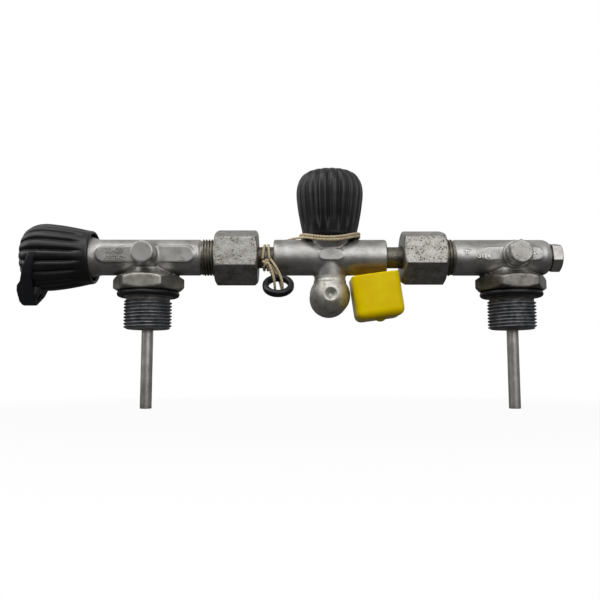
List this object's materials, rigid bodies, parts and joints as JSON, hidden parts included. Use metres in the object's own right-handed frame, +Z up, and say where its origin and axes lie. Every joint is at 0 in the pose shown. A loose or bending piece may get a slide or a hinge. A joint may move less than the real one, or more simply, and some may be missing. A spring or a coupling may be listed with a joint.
{
  "type": "scuba crossover manifold",
  "caption": "Scuba cylinder crossover manifold: a knob valve feeds a yoke outlet and a lever works the spring reserve in the left post; with a lanyard pull ring and an outlet dust cap.",
  "frame": {"origin": "on the left tank thread's axis, at the top of its uppermost full crest", "axes": "+X along the crossbar from the reserve post to the plain post, +Y towards the outlet's O-ring face, +Z up towards the valve knob"},
  "size_m": [0.3016, 0.0407, 0.1336],
  "materials": {
    "forged_body": "satin worn plating over forged brass",
    "plated_fittings": "worn plating, slightly pitted",
    "worn_tube": "dull plating with brown patina",
    "inner_brass": "machined",
    "spring_steel": "drawn wire",
    "copper": "soft copper sheet",
    "knob_rubber": "moulded, ribbed, satin",
    "seal_rubber": "moulded, smooth",
    "seat_plastic": "turned from rod",
    "lever_plastic": "moulded, worn satin",
    "cord": "twisted cotton",
    "yellow_vinyl": "dipped, glossy"
  },
  "bodies": {
    "manifold": {"reserve_post_body": "forged_body", "left_neck_oring": "seal_rubber", "left_dip_tube": "plated_fittings", "reserve_bonnet": "plated_fittings", "reserve_bonnet_gasket": "copper", "reserve_stem_oring": "seal_rubber", "reserve_stem_washer": "seat_plastic", "reserve_spring": "spring_steel", "reserve_spring_retainer": "inner_brass", "left_union_nut": "plated_fittings", "left_crossover_tube": "worn_tube", "left_union_oring": "seal_rubber", "right_union_nut": "plated_fittings", "right_crossover_tube": "worn_tube", "right_union_oring": "seal_rubber", "valve_body": "forged_body", "valve_bonnet": "plated_fittings", "bonnet_gasket": "copper", "stem_oring": "seal_rubber", "stem_washer": "seat_plastic", "outlet_oring": "seal_rubber", "right_post_body": "forged_body", "right_neck_oring": "seal_rubber", "right_dip_tube": "plated_fittings", "end_plug": "plated_fittings", "end_plug_gasket": "copper", "burst_plug": "plated_fittings", "burst_disc": "copper", "burst_gasket": "copper", "neck_cord": "cord", "lanyard_wraps": "cord", "lanyard_knot": "cord"},
    "valve_handle": {"valve_knob": "knob_rubber", "valve_knob_hub": "inner_brass", "valve_stem": "inner_brass", "valve_knob_spring": "spring_steel", "valve_knob_nut": "inner_brass"},
    "valve_seat": {"seat_spindle": "inner_brass", "seat_disc": "seat_plastic"},
    "reserve_handle": {"reserve_knob": "knob_rubber", "reserve_knob_hub": "inner_brass", "reserve_lever": "lever_plastic", "reserve_knob_washer": "spring_steel", "reserve_knob_nut": "inner_brass", "reserve_stem": "inner_brass"},
    "reserve_valve": {"reserve_push_rod": "inner_brass", "reserve_poppet": "inner_brass", "reserve_seat_disc": "seat_plastic"},
    "hanging_ring": {"lanyard_cord": "cord", "pull_ring": "seal_rubber"},
    "hanging_cap": {"cap_cord": "cord", "dust_cap": "yellow_vinyl"}
  },
  "joints": [
    {"name": "valve_knob_turn", "type": "hinge", "parent": "manifold", "child": "valve_handle", "pos_m": [0.1016, 0, 0.0244], "axis": [0, 0, 1], "range_deg": [0, 900]},
    {"name": "seat_lift", "type": "slide", "parent": "valve_handle", "child": "valve_seat", "axis": [0, 0, 1], "range_m": [0, 0.00313]},
    {"name": "reserve_lever_turn", "type": "hinge", "parent": "manifold", "child": "reserve_handle", "pos_m": [-0.06, 0, 0.0244], "axis": [-1, 0, 0], "range_deg": [0, 90]},
    {"name": "reserve_poppet_slide", "type": "slide", "parent": "manifold", "child": "reserve_valve", "axis": [-1, 0, 0], "range_m": [0, 0.00151], "deforming": ["reserve_spring"]},
    {"name": "pull_ring_swing", "type": "hinge", "parent": "manifold", "child": "hanging_ring", "pos_m": [0.0659, -0.009, 0.0202], "axis": [-1, 0, 0], "range_deg": [-3, 30]},
    {"name": "cap_swing", "type": "hinge", "parent": "manifold", "child": "hanging_cap", "pos_m": [0.11235, 0.0135, 0.03277], "axis": [1, 0, 0], "range_deg": [-8, 20]}
  ],
  "couplings": [
    {"joint": "seat_lift", "follows": "valve_knob_turn", "m_per_rad": 0.00019894},
    {"joint": "reserve_poppet_slide", "follows": "reserve_lever_turn", "m_per_rad": 0.00095493}
  ]
}
